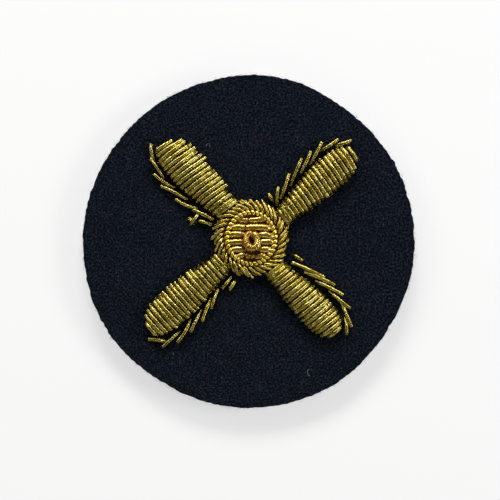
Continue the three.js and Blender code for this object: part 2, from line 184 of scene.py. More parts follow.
def coil(wire, radius, pitch, groove, around=16, taper=0.0, start=0.0, wobble=0.02 * MM):
    """A tube of close helical turns along a wire, as (vertices, faces, groove share per vertex).

    Every turn has a row in the groove and two on its crown. Rows follow the helix, so the tube's
    last column joins its first one turn further on. Its turns wobble in size, quickly and slowly
    along the helix, a few of them much more than the rest. Its ends are cut square and look hollow,
    and taper is how much of its radius they lose."""
    turns = max(3, int(wire.length / pitch))
    rows = 3 * turns + 1
    row_turn = np.arange(rows) // 3 + np.array([0.0, 0.32, 0.68])[np.arange(rows) % 3]
    # Groove rows get a groove share of 1: there a gold paints its groove shade.
    row_depth = np.array([1.0, 0.0, 0.0])[np.arange(rows) % 3]
    turn_share = np.arange(around) / around
    helix = row_turn[:, None] + turn_share[None, :]
    distance = helix * wire.length / (turns + 1)
    depth = np.broadcast_to(row_depth[:, None], distance.shape)
    ends = np.minimum(distance, wire.length - distance)
    narrowing = 1 - taper * np.clip(1 - ends / (2 * radius), 0, 1) ** 2
    swell = np.zeros(helix.shape)
    for knots_per_turn, share in WOBBLES:
        knots = RANDOM.standard_t(3, int((turns + 3) * knots_per_turn) + 2)
        knots = 0.6 * share * wobble * np.clip(knots, -5, 5)
        swell += np.interp(helix * knots_per_turn, np.arange(len(knots)), knots)
    reach = (radius * narrowing - groove * depth + swell)[..., None]
    angle = start + 2 * math.pi * turn_share[None, :, None]
    vertices = (wire.at(distance, wire.points) + reach * np.cos(angle) * wire.at(distance, wire.sides)
                + reach * np.sin(angle) * wire.at(distance, wire.tops))
    index = np.arange(rows * around).reshape(rows, around)
    ahead = np.concatenate([index[:, 1:], np.roll(index[:, :1], -3, axis=0)], axis=1)
    quads = np.stack([index[:-1], ahead[:-1], ahead[1:], index[1:]], axis=-1)
    whole = np.ones((rows - 1, around), bool)
    whole[-3:, -1] = False
    faces = quads[whole].tolist()
    first_rim = [*index[0], index[3, 0], index[2, 0], index[1, 0]]
    last_rim = [*index[-1], index[-2, -1], index[-3, -1], index[-4, -1]]
    flat = vertices.reshape(-1, 3)
    hollow = 0.7 * radius
    inside = [wire.at(hollow, wire.points), wire.at(wire.length - hollow, wire.points)]
    flat = np.concatenate([flat, inside])
    for rim, centre, turn in ((first_rim, len(flat) - 2, 1), (last_rim, len(flat) - 1, -1)):
        for a, b in zip(rim, rim[1:] + rim[:1]):
            faces.append([b, a, centre][::turn])
    # The centres of the hollow ends get the full groove share, so painted shade darkens them.
    return flat, faces, np.concatenate([depth.ravel(), [1.0, 1.0]])


def chip(path, kind, radius, **options):
    """A coil of one kind of wire along a path, started at a random turn."""
    return coil(Wire(path), radius, kind["pitch"], kind["groove"], start=RANDOM.uniform(0, 6),
                **options)


def smooth_path(points, count):
    """Even points along a soft curve through a few points (a chain of Catmull-Rom spans)."""
    points = np.asarray(points, float)
    padded = np.concatenate([[2 * points[0] - points[1]], points, [2 * points[-1] - points[-2]]])
    spans = len(points) - 1
    result = []
    for share in np.linspace(0, spans - 1e-9, count):
        i, t = int(share), share % 1
        a, b, c, d = padded[i:i + 4]
        result.append(0.5 * (2 * b + (c - a) * t + (2 * a - 5 * b + 4 * c - d) * t ** 2
                             + (3 * b - a - 3 * c + d) * t ** 3))
    return np.array(result)


# ---- Pieces ----


def make_piece(name, parts, material, nodes=(), tone_range=(0, 1)):
    """One object made of (vertices, faces, groove share) parts, each with a tone of its own. It
    rides on the root, takes the given material, and hides the CAD nodes that it is built in place of."""
    vertices, faces, grooves, tones = [], [], [], []
    count = 0
    for part_vertices, part_faces, part_grooves in parts:
        vertices.append(part_vertices)
        grooves.append(part_grooves)
        tones.append(np.full(len(part_vertices), RANDOM.uniform(*tone_range)))
        faces.extend([[corner + count for corner in face] for face in part_faces])
        count += len(part_vertices)
    mesh = bpy.data.meshes.new(name)
    mesh.from_pydata(np.concatenate(vertices).tolist(), [], faces)
    # The groove share masks a gold's painted groove shade; the tone sets each part's brightness.
    for attribute, values in (("groove", grooves), ("tone", tones)):
        data = mesh.attributes.new(attribute, "FLOAT", "POINT").data
        data.foreach_set("value", np.concatenate(values).astype(np.float32))
    mesh.shade_smooth()
    mesh.materials.append(material)
    piece = bpy.data.objects.new(name, mesh)
    bpy.context.scene.collection.objects.link(piece)
    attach(piece, "root")
    if nodes:
        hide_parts(*nodes)
    return piece


# ---- Materials ----


class Shade:
    """A new node material, with short calls for the nodes that this scene uses."""

    def __init__(self, name):
        self.material = bpy.data.materials.new(name)
        self.material.use_nodes = True
        self.nodes = self.material.node_tree.nodes
        self.surface = self.nodes["Principled BSDF"]
        self.place = self.nodes.new("ShaderNodeTexCoord").outputs["Object"]

    def link(self, source, target):
        self.material.node_tree.links.new(source, target)

    def colour(self, source):
        self.link(source, self.surface.inputs["Base Color"])

    def set(self, **values):
        """Sets the surface's own sockets, named with _ for a space."""
        for name, value in values.items():
            self.surface.inputs[name.replace("_", " ")].default_value = value

    def noise(self, size, detail=3.0, roughness=0.55):
        """Noise with features about as large as size, in metres."""
        node = self.nodes.new("ShaderNodeTexNoise")
        node.inputs["Scale"].default_value = 1 / size
        node.inputs["Detail"].default_value = detail
        node.inputs["Roughness"].default_value = roughness
        self.link(self.place, node.inputs["Vector"])
        return node.outputs["Fac"]

    def attribute(self, name):
        """A number that make_piece stored in the mesh."""
        node = self.nodes.new("ShaderNodeAttribute")
        node.attribute_name = name
        return node.outputs["Fac"]

    def ramp(self, source, *stops):
        """Colours along a source, as (position, colour) stops."""
        node = self.nodes.new("ShaderNodeValToRGB")
        elements = node.color_ramp.elements
        while len(elements) < len(stops):
            elements.new(0.5)
        for element, (position, colour) in zip(elements, stops):
            element.position = position
            element.color = (*colour, 1)
        self.link(source, node.inputs["Fac"])
        return node.outputs["Color"]

    def mix(self, factor, first, second, blend="MIX"):
        """Two colours mixed. Each input is a socket, a colour or a number."""
        node = self.nodes.new("ShaderNodeMix")
        node.data_type = "RGBA"
        node.blend_type = blend
        sockets = [node.inputs[0], node.inputs[6], node.inputs[7]]
        for value, socket in zip((factor, first, second), sockets):
            if isinstance(value, bpy.types.NodeSocket):
                self.link(value, socket)
            elif isinstance(value, tuple):
                socket.default_value = (*value, 1)
            else:
                socket.default_value = value
        return node.outputs[2]

    def span(self, source, low, high, start=0.0, end=1.0):
        """Maps a source from start..end to low..high."""
        node = self.nodes.new("ShaderNodeMapRange")
        for name, value in (("From Min", start), ("From Max", end), ("To Min", low), ("To Max", high)):
            node.inputs[name].default_value = value
        self.link(source, node.inputs["Value"])
        return node.outputs["Result"]

    def bump(self, source, distance, strength=1.0):
        node = self.nodes.new("ShaderNodeBump")
        node.inputs["Strength"].default_value = strength
        node.inputs["Distance"].default_value = distance
        self.link(source, node.inputs["Height"])
        self.link(node.outputs["Normal"], self.surface.inputs["Normal"])


def gold(name, bright, dull, groove_shade_colour, roughness, dimmest=0.7):
    """Gilt wire: bright and dull patches, each chip as bright as its tone says, from dimmest to 1,
    and painted shade in the grooves between the turns: a darker, redder colour standing in for
    their shadow and for the gold reflected in the gold there."""
    shade = Shade(name)
    patches = shade.ramp(shade.noise(1.0 * MM, 4), (0.4, dull), (0.6, bright))
    dimmed = (dimmest, 0.985 * dimmest, 0.94 * dimmest)
    tone = shade.ramp(shade.attribute("tone"), (0.0, dimmed), (1.0, (1.0, 1.0, 1.0)))
    colour = shade.mix(1.0, patches, tone, "MULTIPLY")
    # Painted shade: the groove rows are mixed towards the groove shade colour.
    shaded_grooves = shade.span(shade.attribute("groove"), 0, 0.8)
    shade.colour(shade.mix(shaded_grooves, colour, groove_shade_colour))
    low, high = roughness
    dullness = shade.span(shade.noise(0.6 * MM), low, high, 0.35, 0.65)
    shade.link(dullness, shade.surface.inputs["Roughness"])
    shade.set(Metallic=1.0)
    return shade.material


def felt_material(name):
    """Milled wool: near-black navy, with a fine mottle of pale and dark fibres, and a faint drift
    of hue where the dyed wools were blended."""
    shade = Shade(name)
    grain = shade.noise(0.36 * MM, 4, 0.75)
    colour = shade.ramp(grain, (0.36, (0.0001, 0.0004, 0.0014)),
                        (0.5, (0.0044, 0.0074, 0.0140)), (0.66, (0.038, 0.048, 0.068)))
    drift = shade.ramp(shade.noise(1.5 * MM, 2), (0.35, (0.78, 0.98, 0.96)),
                       (0.5, (0.95, 0.95, 1.0)), (0.65, (1.22, 0.98, 1.02)))
    clouds = shade.ramp(shade.noise(4 * MM), (0.3, (0.82, 0.84, 0.86)), (0.7, (1.1, 1.1, 1.1)))
    colour = shade.mix(1.0, colour, drift, "MULTIPLY")
    shade.colour(shade.mix(1.0, colour, clouds, "MULTIPLY"))
    shade.set(Roughness=1.0, Specular_IOR_Level=0.05)
    shade.bump(grain, 0.06 * MM, 0.6)
    return shade.material


def cloth_material(name, dark, light, thread):
    """Plain weave with threads of one width."""
    shade = Shade(name)
    warp = shade.nodes.new("ShaderNodeTexWave")
    weft = shade.nodes.new("ShaderNodeTexWave")
    warp.bands_direction, weft.bands_direction = "X", "Y"
    for wave in (warp, weft):
        wave.inputs["Scale"].default_value = 0.05 / thread
        wave.inputs["Distortion"].default_value = 0.6
        wave.inputs["Detail Scale"].default_value = 2.0
        shade.link(shade.place, wave.inputs["Vector"])
    weave = shade.mix(0.5, warp.outputs["Color"], weft.outputs["Color"])
    height = shade.mix(0.35, weave, shade.noise(thread, 4))
    shade.colour(shade.ramp(height, (0.3, dark), (0.75, light)))
    shade.set(Roughness=0.9, Specular_IOR_Level=0.2)
    shade.bump(height, 0.4 * thread)
    return shade.material


def plain_fibre(name, dark, light, size, roughness=0.8):
    """Cotton, thread or wool, dark and light in streaks about as large as size."""
    shade = Shade(name)
    shade.colour(shade.ramp(shade.noise(size, 4), (0.35, dark), (0.65, light)))
    shade.set(Roughness=roughness, Specular_IOR_Level=0.2)
    shade.bump(shade.noise(size / 3), size / 10)
    return shade.material


# Each gold's bright and dull colours, the painted shade colour of its grooves, and its range of
# roughness.
ROUGH_GOLD = gold("rough_purl_gold", (0.86, 0.79, 0.26), (0.52, 0.43, 0.06),
                  (0.15, 0.065, 0.008), (0.09, 0.18))
RING_GOLD = gold("ring_purl_gold", (0.94, 0.83, 0.28), (0.64, 0.47, 0.055),
                 (0.20, 0.08, 0.008), (0.09, 0.18))
PEARL_GOLD = gold("pearl_purl_gold", (1.0, 0.86, 0.22), (0.99, 0.72, 0.06),
                  (0.20, 0.05, 0.002), (0.22, 0.34), dimmest=1.0)
SMOOTH_GOLD = gold("smooth_purl_gold", (0.93, 0.82, 0.31), (0.70, 0.46, 0.06),
                   (0.36, 0.13, 0.008), (0.20, 0.32), dimmest=0.85)
FELT = felt_material("navy_wool_felt")
BUCKRAM = cloth_material("cotton_buckram", (0.36, 0.32, 0.24), (0.68, 0.62, 0.50), 0.5 * MM)
LINING = cloth_material("black_cotton_lining", (0.004, 0.0045, 0.006), (0.02, 0.022, 0.027), 0.28 * MM)
BLADE_COTTON = plain_fibre("ochre_cotton_padding", (0.32, 0.17, 0.035), (0.52, 0.30, 0.07), 0.4 * MM)
# The hub's cotton is painted dark brown for shade: it shows in the gaps between the rows and in the
# eyelet's hole.
HUB_COTTON = plain_fibre("painted_shade_cotton_padding", (0.14, 0.05, 0.006), (0.34, 0.14, 0.02), 0.4 * MM)
THREAD = plain_fibre("waxed_sewing_thread", (0.36, 0.20, 0.02), (0.62, 0.40, 0.07), 0.3 * MM, 0.5)
WOOL = plain_fibre("loose_wool_fibre", (0.006, 0.009, 0.014), (0.10, 0.115, 0.13), 2 * MM, 0.9)
LINT = plain_fibre("pale_lint", (0.35, 0.36, 0.36), (0.62, 0.62, 0.60), 0.2 * MM)

# ---- Blades ----


def arch_over(tree, foot, across, lowest=4, steps=22):
    """Where rays that fan in on foot, in the upright plane through across, meet a surface."""
    hits = []
    for angle in np.radians(np.linspace(lowest, 180 - lowest, steps)):
        outward = across * math.cos(angle) + UP * math.sin(angle)
        hit = tree.ray_cast(Vector(foot + RAY_START * outward), Vector(-outward))[0]
        if hit is not None:
            hits.append(np.array(hit))
    return np.array(hits)


def sunk(points, across, depth):
    """Moves an arch inwards by depth, in its own upright plane."""
    tangents = np.gradient(points, axis=0)
    inward = np.cross(np.cross(across, UP), tangents)
    inward /= np.linalg.norm(inward, axis=1)[:, None]
    centre = points.mean(axis=0) - UP * 2 * MM
    turn = np.sign(np.sum(inward * (centre - points), axis=1))[:, None]
    return points + inward * turn * depth


def blade_frame(name):
    """The blade's direction, the one to its left, its chips' slope and the direction along them."""
    angle, tilt = BLADES[name]
    along = direction(angle)
    left = direction(angle + 90)
    slope = math.tan(math.radians(tilt))
    return along, left, slope, unit(left + slope * along)


def with_tails(arch, across, left_tail, right_tail, height):
    """An arch whose ends run on outwards over the felt, left (the first) and right. A short tail
    lies flat. A long one ends higher, and the arch gives up a point on its right for it, so that
    its right side comes down in a freer curve."""
    middle_points = list(arch[2:-2:3])
    ends = []
    for foot, outwards, tail in ((arch[0], across, left_tail), (arch[-1], -across, right_tail)):
        flat = foot * [1, 1, 0] + UP * height
        if tail < SPRINGING * MM:
            ends.append([flat + outwards * tail, flat + outwards * 0.05 * MM])
        else:
            ends.append([flat + outwards * (tail - SPRUNG_SHORTER * MM) + UP * SPRUNG_HIGHER * MM])
            middle_points.pop()
    return smooth_path([*ends[0], *middle_points, *ends[1][::-1]], 40)


def blade_chips(name):
    """Coils over one blade's padding, one on each crown of the CAD field. They bow towards the tip.
    One more tucks in under the hub's ring, and two more under the last one close the tip."""
    along, left, slope, across = blade_frame(name)
    node = f"blade_{name}_purl_field"
    tree = node_tree(node)
    points = node_points(node) - HUB
    squared = points @ along - slope * (points @ left)
    root, tip = squared.min(), squared.max()
    count = round((tip - root) / CHIP_PITCH)
    pitch = (tip - root) / count
    parts = []
    for i in range(-1, count + len(TIP_FILLERS)):
        out = root + (min(max(i, 0), count - 1) + 0.5) * pitch
        near = np.abs(squared - out) < 0.2 * pitch
        sideways = points[near] @ left
        centre = (sideways.min() + sideways.max()) / 2
        foot = HUB + along * (out + slope * centre) + left * centre + UP * WORK_BASE
        arch = sunk(arch_over(tree, foot, across), across, ROUGH["radius"])
        if i < 0:
            width, rise = ROOT_FILLER
            arch = foot + (arch - foot) * [width, width, rise] - along * ROOT_SETBACK * pitch
        tails = [min(abs(RANDOM.normal(0, 0.8)), 1.2) * stray * MM for stray in RAGGED[name]]
        if i >= count:
            width, rise = TIP_FILLERS[i - count]
            arch = foot + (arch - foot) * [width, width, rise]
            tails = [0, 0]
        arch = with_tails(arch, across, *tails, WORK_BASE + 0.8 * ROUGH["radius"])
        stations = np.linspace(-1, 1, len(arch))[:, None]
        bow = (CHIP_BOW + TIP_BOW * (max(i, 0) / count) ** 4) * MM
        arch = arch - along * bow * stations ** 2 + along * RANDOM.normal(0, CHIP_SKEW * MM) * stations
        arch += along * RANDOM.normal(0, CHIP_SHIFT * MM) + UP * RANDOM.normal(0, CHIP_LIFT * MM)
        parts.append(chip(arch, ROUGH, ROUGH["radius"] * RANDOM.uniform(0.96, 1.03)))
    # Painted light and shade: each blade's tone range brightens or dulls its chips.
    make_piece(f"blade_{name}_purl_chips", parts, ROUGH_GOLD, [node], BLADE_TONES_AND_LIGHT[name])


def edge_chip(node, outward):
    """One chip of the edging, along its CAD bar. Its inner end runs on under its neighbour, and its
    outer end lies on top."""
    points = node_points(node)
    centre = points.mean(axis=0) * [1, 1, 0]
    axis = np.linalg.svd((points - points.mean(axis=0)) * [1, 1, 0])[2][0]
    axis = axis if axis @ outward > 0 else -axis
    reach = np.abs((points - centre) @ axis).max()
    side = np.cross(UP, axis)
    bend = RANDOM.normal(0, 0.06) * reach
    stations = np.linspace(-1 - EDGE_TUCK * MM / reach, 1, 16)[:, None]
    lift = EDGE_ARCH * MM * (1 - stations ** 2) + EDGE_RISE * MM * stations
    path = centre + axis * reach * stations + side * bend * (1 - stations ** 2)
    path = path + UP * (WORK_BASE + 0.9 * EDGE["radius"] + lift)
    part = chip(path, EDGE, EDGE["radius"] * RANDOM.uniform(0.95, 1.06))
    make_piece(node.replace("_chip_", "_coil_"), [part], ROUGH_GOLD, [node])


def blade_padding(name):
    """A bundle of cotton strings laid along the blade, in the room that the CAD padding has."""
    along, _, _, across = blade_frame(name)
    node = f"blade_{name}_padding"
    tree = node_tree(node)
    points = node_points(node) - HUB
    start, end = (points @ along).min(), (points @ along).max()
    length, width = PADDING_GRID
    rows = []
    for out in np.linspace(start + PADDING_TRIM[0] * MM, end - PADDING_TRIM[1] * MM, length):
        foot = HUB + along * out + UP * (WORK_BASE + 0.02 * MM)
        arch = arch_over(tree, foot, across, lowest=6, steps=width)
        if len(arch) == width:
            rows.append(arch)
    rows = np.array(rows)
    round_it = np.linspace(0, FLUTES * math.pi, width)
    flutes = FLUTE_DEPTH * MM * (1 - np.abs(np.sin(round_it)))[None, :, None]
    inward = rows.mean(axis=1, keepdims=True) - rows
    rows = rows + inward / np.linalg.norm(inward, axis=2, keepdims=True) * flutes
    count = len(rows)
    index = np.arange(count * width).reshape(count, width)
    faces = []
    for i in range(count - 1):
        for j in range(width):
            k = (j + 1) % width
            faces.append([index[i, j], index[i, k], index[i + 1, k], index[i + 1, j]])
    faces.append(index[0][::-1].tolist())
    faces.append(index[-1].tolist())
    flat = rows.reshape(-1, 3)
    piece = make_piece(f"blade_{name}_cotton_core", [(flat, faces, np.zeros(len(flat)))],
                       BLADE_COTTON, [node])


for blade in BLADES:
    blade_chips(blade)
    blade_padding(blade)
    for edging in sorted(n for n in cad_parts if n.startswith(f"blade_{blade}_edge_chip")):
        edge_chip(edging, direction(BLADES[blade][0]))

# ---- Hub ----


# The two kinds of coil in the hub's ring, on the CAD crowns and tucked between them: thickness as a
# share of RING's, and how far they start from HUB_INNER and stop short of the CAD rim, in mm.
RING_CHIPS = [(1.0, 0.02, 0.2), (0.8, 1.1, 0.45)]

# How far the ring's coils stray in reach and in height, and how deep their ends dive, in mm.
RING_REACH_STRAY = 0.24
RING_HEIGHT_STRAY = 0.06
RING_DIVE = 0.35


def hub_ring():
    """Slanted coils over the hub padding's rim, one on each crown of the CAD ring, and a thinner,
    shorter one tucked between the outer ends of each two."""
    tree = node_tree("hub_purl_ring")
    low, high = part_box("hub_purl_ring")
    outer = (high.x - low.x) / 2
    sweep = math.tan(math.radians(HUB_SLANT))
    parts = []
    for i in range(2 * HUB_CHIPS):
        share, inset, short = RING_CHIPS[i % 2]
        thickness = RING["radius"] * share * RANDOM.uniform(0.92, 1.06)
        inner = HUB_INNER + inset * MM
        reach = outer - short * MM + RANDOM.normal(0, RING_REACH_STRAY) * MM
        slant = sweep * RANDOM.uniform(0.85, 1.15)
        points = []
        for radius in np.linspace(inner, outer - 0.12 * MM, 14):
            turn = math.pi * i / HUB_CHIPS + sweep * math.log(radius / HUB_INNER)
            spot = HUB + radius * np.array([math.cos(turn), math.sin(turn), 0])
            hit = under(tree, spot)
            if hit is None:
                break
            stretch = (radius - HUB_INNER) / (outer - HUB_INNER)
            turn += (slant - sweep) * math.log(radius / HUB_INNER)
            radius += (reach - outer) * stretch ** 2
            dive = RING_DIVE * MM * (1 - stretch) ** 4
            points.append(HUB + radius * np.array([math.cos(turn), math.sin(turn), 0])
                          + UP * (hit.z - 0.9 * RING["radius"] - dive))
        points = np.array(points) + UP * RANDOM.normal(0, RING_HEIGHT_STRAY) * MM
        outwards = unit(points[-1] - points[-2])
        points = [*points, points[-1] + outwards * 0.1 * MM - UP * RING_DIVE * MM]
        parts.append(chip(smooth_path(points, 20), RING, thickness))
    make_piece("hub_ring_chips", parts, RING_GOLD, ["hub_purl_ring"])


# The pearl purl: its turns' thickness against the CAD tube's, how far in from the CAD rim they lie
# as a share of that, how much fatter they are at the ring's sides, and the ring's width and height
# against the CAD circle's.
PEARL_THICKNESS = 1.14
PEARL_INSET = 0.93
PEARL_FATTER = 0.15
PEARL_OVAL = (0.95, 1.02)

# One of its turns: places along it from groove to groove, and how thick it is at each.
BEAD_PLACES = np.array([-1, -0.8, -0.62, -0.3, 0.0, 0.3, 0.62, 0.8])
BEAD_THICKNESS = np.array([0.34, 0.58, 0.92, 0.99, 1.0, 0.99, 0.92, 0.58])


def pearl_purl():
    """A stiff coil of flat turns, bent into a ring: each turn shows as a block that leans."""
    low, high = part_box("hub_pearl_purl")
    tube = (high.z - low.z) / 2 * PEARL_THICKNESS
    radius = (high.x - low.x) / 2 - tube * PEARL_INSET
    around = 24
    turns = (np.arange(PEARL_BEADS)[:, None] + (BEAD_PLACES + 1) / 2).ravel()
    sizes = RANDOM.uniform(0.95, 1.03, PEARL_BEADS)
    swell = tube * np.tile(BEAD_THICKNESS, PEARL_BEADS) * np.repeat(sizes, len(BEAD_PLACES))
    ring = turns[:, None] + np.arange(around)[None, :] / around
    angle = -2 * math.pi * ring / PEARL_BEADS
    section = 2 * math.pi * np.arange(around)[None, :] / around
    swell = swell[:, None] * (1 + PEARL_FATTER * np.cos(2 * angle))
    out = radius + swell * np.cos(section)
    height = middle("hub_pearl_purl")[2] + swell * np.sin(section)
    x = HUB[0] + PEARL_OVAL[0] * out * np.cos(angle)
    y = HUB[1] + PEARL_OVAL[1] * out * np.sin(angle)
    vertices = np.stack([x, y, height], axis=-1)
    index = np.arange(len(turns) * around).reshape(len(turns), around)
    ahead = np.concatenate([index[:, 1:], np.roll(index[:, :1], -len(BEAD_PLACES), axis=0)], axis=1)
    below, ahead_below = np.roll(index, -1, axis=0), np.roll(ahead, -1, axis=0)
    faces = np.stack([index, below, ahead_below, ahead], axis=-1).reshape(-1, 4).tolist()
    # The thin ends of each turn get a groove share: painted shade in the gaps between turns.
    groove = np.tile(np.clip((0.95 - BEAD_THICKNESS) * 3, 0, 1), PEARL_BEADS)
    groove = groove[:, None] * np.ones((1, around))
    part = (vertices.reshape(-1, 3), faces, groove.ravel())
    make_piece("hub_pearl_purl_coil", [part], PEARL_GOLD, ["hub_pearl_purl"])


# The rows of smooth purl that aren't straight bars like their CAD solids, in mm: where a row is
# pieced from shorter chips, how far its right end droops, how much deeper it lies, how much further
# it reaches under the pearl purl, how far it is shifted up the badge, and the skew of its chips.
ROW_CUTS = {"hub_centre_row_1": [-0.45], "hub_centre_row_2": [-1.0],
            "hub_centre_row_6": [-1.1, -0.1, 0.7]}
ROW_DROOP = {"hub_centre_row_2": 0.3, "hub_centre_row_3_right": 0.4, "hub_centre_row_6": -0.3}
ROW_SINK = {"hub_centre_row_1": 0.5, "hub_centre_row_6": 0.1}
ROW_REACH = {"hub_centre_row_1": 0.45, "hub_centre_row_6": 0.4}
ROW_SHIFT = {"hub_centre_row_1": 0.15}
ROW_SKEW = {"hub_centre_row_6": 0.25}

# Every row, in mm: how far it runs on under the eyelet, how deep its ends dip and over what length,
# the length over which an end droops, and how far it wanders at each step.
ROW_TUCK = 0.45
ROW_DIP = 0.3
ROW_DIP_LENGTH = 0.6
ROW_DROOP_LENGTH = 1.4
ROW_WANDER = 0.02


def hub_row(node):
    """One straight row of smooth purl. It dips at its ends, under the pearl purl or the eyelet."""
    low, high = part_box(node)
    height = (low.z + high.z) / 2 - ROW_SINK.get(node, 0) * MM
    radius = (high.z - low.z) / 2 * 1.03
    tuck = ROW_TUCK * MM
    reach = ROW_REACH.get(node, 0.1) * MM
    start = low.x - (tuck if "right" in node else reach)
    end = high.x + (tuck if "left" in node else reach)
    cuts = [HUB[0] + cut * MM for cut in ROW_CUTS.get(node, [])]
    parts = []
    for first, last in zip([start, *cuts], [*cuts, end]):
        x = np.linspace(first + 0.03 * MM, last - 0.03 * MM, 18)
        near_end = np.minimum(x - start, end - x)
        dip = ROW_DIP * MM * np.clip(1 - near_end / (ROW_DIP_LENGTH * MM), 0, 1) ** 1.5
        drooping = np.clip(1 - (end - x) / (ROW_DROOP_LENGTH * MM), 0, 1) ** 1.5
        droop = ROW_DROOP.get(node, 0) * MM * drooping
        wander = np.cumsum(RANDOM.normal(0, ROW_WANDER * MM, 18))
        wander = wander + RANDOM.normal(0, 2 * ROW_WANDER * MM) * bool(cuts)
        y = (low.y + high.y) / 2 + ROW_SHIFT.get(node, 0) * MM + wander - droop
        y = y + (x - x.mean()) * ROW_SKEW.get(node, 0) * RANDOM.normal()
        path = np.stack([x, y, height - dip + RANDOM.normal(0, 2 * ROW_WANDER * MM)], axis=-1)
        parts.append(chip(path, SMOOTH, radius, around=20, taper=0.15, wobble=0.005 * MM))
    make_piece(node + "_coil", parts, SMOOTH_GOLD, [node])


# The eyelet: how much wider it is than the CAD one on each side and how much deeper it lies, in mm,
# its lean, where its ends lie and where its last end starts to dive, in degrees, and how deep that
# dives, in mm.
EYELET_WIDER = 0.1
EYELET_DEEPER = 0.15
EYELET_LEAN = -0.12
EYELET_ENDS = (75, 440)
EYELET_DIVE_FROM = 400
EYELET_DIVE = 0.45

# How far its wire is mixed towards the gold's painted groove shade colour: all over, more towards
# its left, and in its grooves.
EYELET_DARKENING = (0.45, 0.4, 0.5)


def eyelet():
    """A leaning loop of purl in the hub's centre, its ends tucked under its upper side. It is
    darkened all over with the gold's painted groove shade colour, most towards its left and in its
    grooves. The coil is thicker than the CAD tube, so its middle lies deeper."""
    points = node_points("hub_centre_eyelet")
    low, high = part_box("hub_centre_eyelet")
    centre = (low + high) / 2
    upper = points[points[:, 1] > high.y - 0.5 * MM].mean(axis=0)[2]
    lower = points[points[:, 1] < low.y + 0.5 * MM].mean(axis=0)[2]
    outer = np.array([high.x - low.x, high.y - low.y]) / 2 + EYELET_WIDER * MM
    half = outer - EYELET["radius"]
    path = []
    for turn in np.linspace(*EYELET_ENDS, 40):
        angle = math.radians(turn)
        y = half[1] * math.sin(angle)
        lean = EYELET_LEAN * y
        height = (upper + lower) / 2 + (upper - lower) / 2 * math.sin(angle)
        diving = max(0, (turn - EYELET_DIVE_FROM) / (EYELET_ENDS[1] - EYELET_DIVE_FROM))
        height -= EYELET_DEEPER * MM + EYELET_DIVE * MM * diving
        path.append([centre.x + half[0] * math.cos(angle) + lean, centre.y + y, height])
    vertices, faces, depth = coil(Wire(path), EYELET["radius"], EYELET["pitch"], EYELET["groove"],
                                  wobble=0.05 * MM)
    # Painted shade: the wire is mixed with the groove shade colour all over, more to its left and in
    # its grooves.
    leftwards = np.clip((centre.x - vertices[:, 0]) / (1.2 * MM), -0.5, 1)
    all_over, to_the_left, in_grooves = EYELET_DARKENING
    darkened = np.clip(all_over + to_the_left * leftwards + in_grooves * depth, 0, 1)
    make_piece("hub_eyelet_coil", [(vertices, faces, darkened)], SMOOTH_GOLD,
               ["hub_centre_eyelet"])


# The hub's pad: how much smaller it is than the CAD one, how deep the grooves between its string's
# turns are, and the depth and radius of the pit in the eyelet, in mm. It slopes down from the
# shoulder, a share of its radius.
HUB_PAD_TRIM = 0.45
STRING_GROOVE = 0.03
PIT_DEPTH = 0.6
PIT_RADIUS = 0.75
HUB_SHOULDER = 0.7


def hub_padding():
    """A domed pad of cotton under the hub, ringed by the turns of its string, and drawn down by the
    stitches in the eyelet."""
    points = node_points("hub_padding") - HUB
    radius = np.hypot(points[:, 0], points[:, 1]).max() - HUB_PAD_TRIM * MM
    low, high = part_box("hub_padding")
    rings, spokes = 22, 64
    pit_centre = middle("hub_centre_eyelet")[:2]
    vertices, faces = [[HUB[0], HUB[1], high.z - 0.4 * MM]], []
    for i in range(1, rings + 1):
        out = radius * i / rings
        share = i / rings
        drop = (max(0.0, share - HUB_SHOULDER) / (1 - HUB_SHOULDER)) ** 2.2
        height = high.z - 0.05 * MM - (high.z - low.z - 0.1 * MM) * drop
        height -= STRING_GROOVE * MM * (i % 2)
        for j in range(spokes):
            turn = 2 * math.pi * j / spokes
            x, y = HUB[0] + out * math.cos(turn), HUB[1] + out * math.sin(turn)
            from_pit = math.dist((x, y), pit_centre) / (PIT_RADIUS * MM)
            vertices.append([x, y, height - PIT_DEPTH * MM * math.exp(-from_pit ** 2)])

    def corner(i, j):
        return 1 + (i - 1) * spokes + j % spokes

    faces += [[0, corner(1, j), corner(1, j + 1)] for j in range(spokes)]
    for i in range(1, rings):
        for j in range(spokes):
            faces.append([corner(i, j), corner(i + 1, j), corner(i + 1, j + 1), corner(i, j + 1)])
    faces.append([corner(rings, j) for j in range(spokes)][::-1])
    part = (np.array(vertices), faces, np.zeros(len(vertices)))
    piece = make_piece("hub_cotton_core", [part], HUB_COTTON, ["hub_padding"])


hub_ring()
pearl_purl()
for row in sorted(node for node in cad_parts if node.startswith("hub_centre_row")):
    hub_row(row)
eyelet()
hub_padding()

# ---- Felt, buckram and lining ----


def outline(node):
    """The disc's radius at every degree, from the CAD node's own edge."""
    points = node_points(node)
    angles = np.degrees(np.arctan2(points[:, 1], points[:, 0])) % 360
    radii = np.hypot(points[:, 0], points[:, 1])
    edge = {}
    for angle, radius in zip(np.round(angles, 1), radii):
        edge[angle] = max(radius, edge.get(angle, 0))
    known = sorted(angle for angle in edge if edge[angle] > 0.9 * radii.max())
    return np.interp(np.arange(360), known, [edge[angle] for angle in known], period=360)


def waves(count, low, high, size, seed):
    """A smooth periodic wander at count places: waves of low to high turns, size in metres."""
    random = np.random.default_rng(seed)
    turn = 2 * math.pi * np.arange(count) / count
    total = np.zeros(count)
    for times in range(low, high + 1):
        total += random.normal() * np.cos(times * turn + random.uniform(0, 2 * math.pi))
    return size * total / math.sqrt((high - low + 1) / 2)


# How the scissors wandered round a disc's edge: the fewest and most waves, and how far in mm.
CUT_WANDER = [(14, 60, 0.035), (60, 170, 0.03)]

# The cut edge of a disc from top to bottom: how far it bulges, in mm, and its height as a share.
CUT_EDGE = [(0.0, 1.0), (0.08, 0.94), (0.14, 0.8), (0.12, 0.5), (0.08, 0.2), (0.0, 0.0)]


